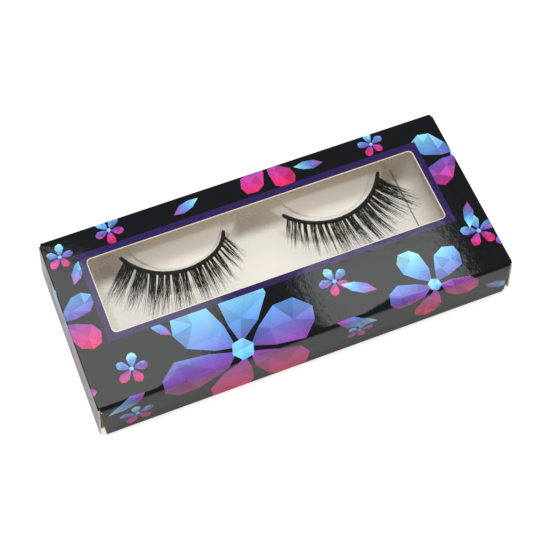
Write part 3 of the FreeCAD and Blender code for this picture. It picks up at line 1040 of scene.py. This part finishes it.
# %% Bands
BAND_HALF = 0.56
BAND_RISE = 0.26
BAND_STEPS = 48
BAND_SIDES = 10
BAND_SHARP = 50
# Thickness of a cut end as a share of the full one, and how fast it grows
BAND_END = 0.75
BAND_GROWTH = 10


def tube_faces(start, rings, sides):
    """The walls and the two ends of a tube whose rings of points begin at an index."""
    faces = []
    for ring in range(start, start + rings * sides, sides):
        for corner in range(sides):
            after = (corner + 1) % sides
            faces.append((ring + corner, ring + after, ring + sides + after, ring + sides + corner))
    last = start + rings * sides
    return faces + [tuple(range(start, start + sides))[::-1], tuple(range(last, last + sides))]


def band_bar(lash, material):
    """The bar of one band along its ledge."""
    points = []
    for step in range(BAND_STEPS + 1):
        share = step / BAND_STEPS
        fat = min(1.0, BAND_END + BAND_GROWTH * min(share, 1 - share))
        for corner in range(BAND_SIDES):
            angle = lash.side * 2 * math.pi * corner / BAND_SIDES
            point = band_point(lash, share, BAND_MIDDLE + BAND_HALF * fat * math.cos(angle))
            points.append(point + Vector((0, 0, BAND_Z + BAND_RISE * fat * math.sin(angle))))
    return mesh_piece(f"{lash.name}_band", points, tube_faces(0, BAND_STEPS, BAND_SIDES), [material])


for lash in LASHES:
    band = band_bar(lash, cotton)
    settle(band, BAND_SHARP)
    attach(band, f"{lash.name}_lash")
    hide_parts(f"{lash.name}_lash_band")
    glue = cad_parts[f"{lash.name}_lash_glue"]
    glue.data.materials.clear()
    glue.data.materials.append(tack)
    print(band.name, "has", len(band.data.polygons), "faces")

# %% [markdown]
# ## One hair
# The hairs are tapered polyester fibres: black, smooth, with a soft gloss along them. Hair particles would be
# quick but don't become a mesh, so each hair is a slim tapered tube along a curved line that rises a little.

# %% Hair
STRAND = 0.8
# Radii, a little larger than a real fibre's 0.035 mm at the root, so that a hair still shows
HAIR_ROOT = 0.055
HAIR_TIP = 0.016
HAIR_SIDES = 4
HAIR_RINGS = 8
# A hair rises most at its root and ever less towards its tip
RISE_ROOT = 1.4


def polyester_fibre():
    """Black fibre, a little lighter in places, so that single hairs part."""
    material, tree = new_material("black_polyester_fibre")
    place = add(tree, "TexCoord", {}).outputs["Object"]
    strand = add(tree, "TexNoise", {"Vector": place, "Scale": per_metre(STRAND), "Detail": 1.0})
    tone = add(tree, "Mix", {0: strand, 6: linear("#070708"), 7: linear("#1a191c")}, data_type="RGBA")
    fibre = add(tree, "BsdfPrincipled", {"Base Color": tone.outputs[2], "Roughness": 0.4})
    return coated(material, fibre)


def hair(points, faces, root, lean, curl, length, rise, side):
    """Add one tapered tube to a mesh in the making. Lean and curl are in degrees, outwards positive."""
    place = Vector(root)
    start = len(points)
    for ring in range(HAIR_RINGS + 1):
        share = ring / HAIR_RINGS
        heading = math.radians(lean + curl * share)
        along = Vector((side * math.sin(heading), -math.cos(heading), rise * (RISE_ROOT - share)))
        across = Vector((side * math.cos(heading), math.sin(heading), 0))
        radius = between(HAIR_ROOT, HAIR_TIP, share ** 2)
        for corner in range(HAIR_SIDES):
            angle = side * 2 * math.pi * corner / HAIR_SIDES
            points.append(place + (across * math.cos(angle) + Vector((0, 0, math.sin(angle)))) * radius)
        place += along * (length / HAIR_RINGS)
    faces.extend(tube_faces(start, HAIR_RINGS, HAIR_SIDES))


fibre = polyester_fibre()
print("made", fibre.name)

# %% [markdown]
# ## How a hair grows
# Inner hairs are short and lean inwards, and outer ones are long and sweep outwards. Most stop short, and the
# rest run on as fine loose tips. Chance numbers from a fixed seed give each its length and lean within those
# bounds, so the lash is the same at every run.

# %% Settings of a hair
BAND_LENGTH = BAND_MIDDLE * BAND_SWEEP
LEAN = (-28.0, 46.0)
LENGTH_INNER = 7.8
LENGTH_MIDDLE = 13.6
LENGTH_OUTER = 12.8
# The share of the full length that the shortest hairs reach, and how rare the long ones are
SHORTEST = 0.45
LONG_ONES = 1.4
# Stray of the lean, in degrees, for the shortest and the longest hairs
LEAN_STRAY = (1.6, 4.5)
CURL_STRAY = (0.6, 1.3)
RISE = (0.02, 0.09)
ROOT_OUT = 0.3
ROOT_STRAY = (-0.12, 0.16)
# No tip goes past this x, so that the hairs stay clear of the tray's end wall
TIP_LIMIT = 44.5


def hair_length(share):
    """Full length of a hair along the band, on a curve through the three lengths."""
    inner = LENGTH_INNER * (1 - share) * (1 - 2 * share)
    middle = LENGTH_MIDDLE * 4 * share * (1 - share)
    return inner + middle + LENGTH_OUTER * share * (2 * share - 1)


def bunch_hair(chance, lash, along, sway, full):
    """Settings of one hair at a place along the band: most stop short, the rest run on as fine loose tips."""
    share = along / BAND_LENGTH
    root = band_point(lash, share, BAND_MIDDLE + ROOT_OUT)
    root.z = BAND_Z + chance.uniform(*ROOT_STRAY)
    run = chance.random() ** LONG_ONES
    reach = full * between(SHORTEST, 1.0, run)
    heading = between(*LEAN, share) + sway + chance.gauss(0, between(*LEAN_STRAY, run))
    outwards = max(0.01, math.sin(math.radians(heading)))
    reach = min(reach, (TIP_LIMIT - abs(root.x)) / outwards)
    bend = lash.curl * share * chance.uniform(*CURL_STRAY)
    return root, heading - bend / 2, bend, reach, chance.uniform(*RISE)


print("hair lengths along the band:", [round(hair_length(share), 1) for share in (0, 0.5, 1)], "mm")

# %% [markdown]
# ## Bunches of hairs
# The hairs are knotted on in small bunches: dense and dark by the band, drawn together to a point and
# splitting into fine tips. The bunches follow one another with narrow gaps, and the last one, at the outer
# end, is a wide fan.

# %% Bunches
BARE_END = 1.5
BUNCH_WIDTH = (0.8, 3.0)
BUNCH_GROWTH = (0.4, 1.2)
BUNCH_GAP = (0.15, 0.7)
BUNCH_LENGTH = (0.88, 1.0)
BUNCH_SWAY = 4
# How far a bunch draws together at its tips, as a share of its width
BUNCH_POINT = 0.5
FAN_WIDTH = 4.2
# Hairs to a millimetre of band at the inner and the outer end, and a few more for each bunch
HAIRS = (17.0, 29.0)
HAIRS_MORE = 3


def lash_hairs(lash, material):
    """Bunches one after another along the band, narrow at the inner end, the last one a wide fan."""
    chance = random.Random(lash.seed)
    points = []
    faces = []
    start = BARE_END
    end = BAND_LENGTH - BARE_END
    while start < end:
        share = start / BAND_LENGTH
        width = chance.uniform(*BUNCH_WIDTH) * between(*BUNCH_GROWTH, share)
        if end - start < FAN_WIDTH:
            width = end - start
        sway = chance.uniform(-BUNCH_SWAY, BUNCH_SWAY)
        full = hair_length(share) * chance.uniform(*BUNCH_LENGTH)
        for _ in range(round(width * between(*HAIRS, share)) + HAIRS_MORE):
            across = (chance.random() - 0.5) * width
            to_point = sway - math.degrees(math.atan(BUNCH_POINT * across / full))
            settings = bunch_hair(chance, lash, start + width / 2 + across, to_point, full)
            hair(points, faces, *settings, lash.side)
        start += width + chance.uniform(*BUNCH_GAP)
    print(lash.name, "lash has", len(points) // (HAIR_SIDES * (HAIR_RINGS + 1)), "hairs")
    return mesh_piece(f"{lash.name}_hairs", points, faces, [material])


for lash in LASHES:
    hairs = lash_hairs(lash, fibre)
    # Shadows of hairs this thick would fill the pale gaps between the bunches
    hairs.visible_shadow = False
    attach(hairs, f"{lash.name}_lash")
    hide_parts(f"{lash.name}_lash_fibres")

# %% [markdown]
# ## Floor
# A product shot stands on a white sweep. White paint under strong lamps would throw too much light onto the
# walls, so this floor is painted grey and glows only for rays from the camera, and a little in reflections.
# The lamps still light the paint, so it takes the case's shadow.

# %% Floor
FLOOR_HALF = 1500.0
FLOOR_DROP = 0.05
FLOOR_GLOW = 0.7
FLOOR_MIRRORED = 0.15


def pale_floor():
    material, tree = new_material("pale_floor")
    rays = add(tree, "LightPath", {})
    seen = add(tree, "Math", {0: rays.outputs["Is Camera Ray"], 1: FLOOR_GLOW}, operation="MULTIPLY")
    glow = add(tree, "Math", {0: rays.outputs["Is Glossy Ray"], 1: FLOOR_MIRRORED, 2: seen},
               operation="MULTIPLY_ADD")
    shine = add(tree, "Emission", {"Color": linear("#ffffff"), "Strength": glow})
    paint = add(tree, "BsdfDiffuse", {"Color": linear("#b8b8b8")})
    return coated(material, add(tree, "AddShader", {0: shine, 1: paint}))


floor_z = cad_box[0].z / MM - FLOOR_DROP
floor_signs = ((-1, -1), (1, -1), (1, 1), (-1, 1))
floor_points = [(x * FLOOR_HALF, y * FLOOR_HALF, floor_z) for x, y in floor_signs]
floor = mesh_piece("floor", floor_points, [(0, 1, 2, 3)], [pale_floor()])
floor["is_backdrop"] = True
print("floor lies", FLOOR_DROP, "mm below the case")

# %% [markdown]
# ## Lamps
# Gloss board is lit by what it mirrors. Two soft panels hang where the lid shows them to the camera, one over
# its left part and one over its front right. A third lamp, kept out of the reflections, lights the inside
# from above. It is small, so the lid's shadow on the tray is crisp, and a touch cooler than the room's own
# light, so that shadow looks warm.

# %% Lamps
LAMP_HEIGHT = 900
# Where the lid shows the left panel's rear right corner, and the panel's turn in degrees
GLARE_CORNER = (-15.5, -7.3)
GLARE_TURN = -36.0
LEFT_SIZE = (330, 200)
LEFT_RADIANCE = 2.35
RIGHT_GLARE = (23, -20)
RIGHT_SIZE = (160, 120)
RIGHT_RADIANCE = 2.6
TOP_PLACE = Vector((-40, 20, 900))
TOP_SIZE = (320, 200)
TOP_RADIANCE = 23.5


def mirrored(x, y, height):
    """The place at a height above the lid that the lid shows to the camera at x, y."""
    stretch = height / (eye.z - lid_high.z)
    return Vector((x + (x - eye.x) * stretch, y + (y - eye.y) * stretch, lid_high.z + height))


def panel_lamp(name, middle, size, turn, radiance, in_mirrors):
    """A soft panel that faces down, turned about the vertical, of an even brightness."""
    lamp = bpy.data.lights.new(name, "AREA")
    lamp.shape = "RECTANGLE"
    lamp.size = size[0] * MM
    lamp.size_y = size[1] * MM
    lamp.energy = radiance * math.pi * lamp.size * lamp.size_y
    panel = bpy.data.objects.new(name, lamp)
    panel.location = middle * MM
    panel.rotation_euler = (0, 0, math.radians(turn))
    panel.visible_glossy = in_mirrors
    bpy.context.scene.collection.objects.link(panel)
    return panel


turn = math.radians(GLARE_TURN)
to_left = Vector((-math.cos(turn), -math.sin(turn), 0)) * LEFT_SIZE[0] / 2
to_front = Vector((math.sin(turn), -math.cos(turn), 0)) * LEFT_SIZE[1] / 2
left_middle = mirrored(*GLARE_CORNER, LAMP_HEIGHT) + to_left + to_front
panel_lamp("left_softbox", left_middle, LEFT_SIZE, GLARE_TURN, LEFT_RADIANCE, True)
panel_lamp("right_softbox", mirrored(*RIGHT_GLARE, LAMP_HEIGHT), RIGHT_SIZE, 0, RIGHT_RADIANCE, True)
top_lamp = panel_lamp("top_lamp", TOP_PLACE, TOP_SIZE, 0, TOP_RADIANCE, False)
top_lamp.data.color = linear("#f2faff")[:3]
print("lamps:", [lamp.name for lamp in bpy.data.objects if lamp.type == "LIGHT"])

# %% [markdown]
# ## Surroundings
# The room gives a plain warm light from all sides. To the camera it is a white backdrop, and in reflections
# it is nearly dark, as in a studio hung with black cloth, so that the black lid mirrors the two panels only.

# %% World
ROOM_LIGHT = 0.66
ROOM_MIRRORED = 0.06
world = bpy.data.worlds.new("studio")
bpy.context.scene.world = world
world.use_nodes = True
tree = world.node_tree
tree.nodes.clear()
rays = add(tree, "LightPath", {})
room = add(tree, "Background", {"Color": linear("#fff1e3"), "Strength": ROOM_LIGHT})
dark = add(tree, "Background", {"Color": linear("#ffffff"), "Strength": ROOM_MIRRORED})
white = add(tree, "Background", {"Color": linear("#ffffff"), "Strength": 1.0})
lit = add(tree, "MixShader", {0: rays.outputs["Is Glossy Ray"], 1: room, 2: dark})
seen = add(tree, "MixShader", {0: rays.outputs["Is Camera Ray"], 1: lit, 2: white})
add(tree, "OutputWorld", {"Surface": seen})
bpy.context.scene.view_settings.view_transform = "Standard"
print("made the world", world.name)

# %% [markdown]
# ## Sizes
# The looks must not change the case's size, so how far the finished model's box has grown past the frame's
# is printed, corner by corner.

# %% Sizes and finish
new_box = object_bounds()
for new, old in zip(new_box, cad_box):
    print("grown by", [round((after - before) / MM, 3) for after, before in zip(new, old)], "mm")
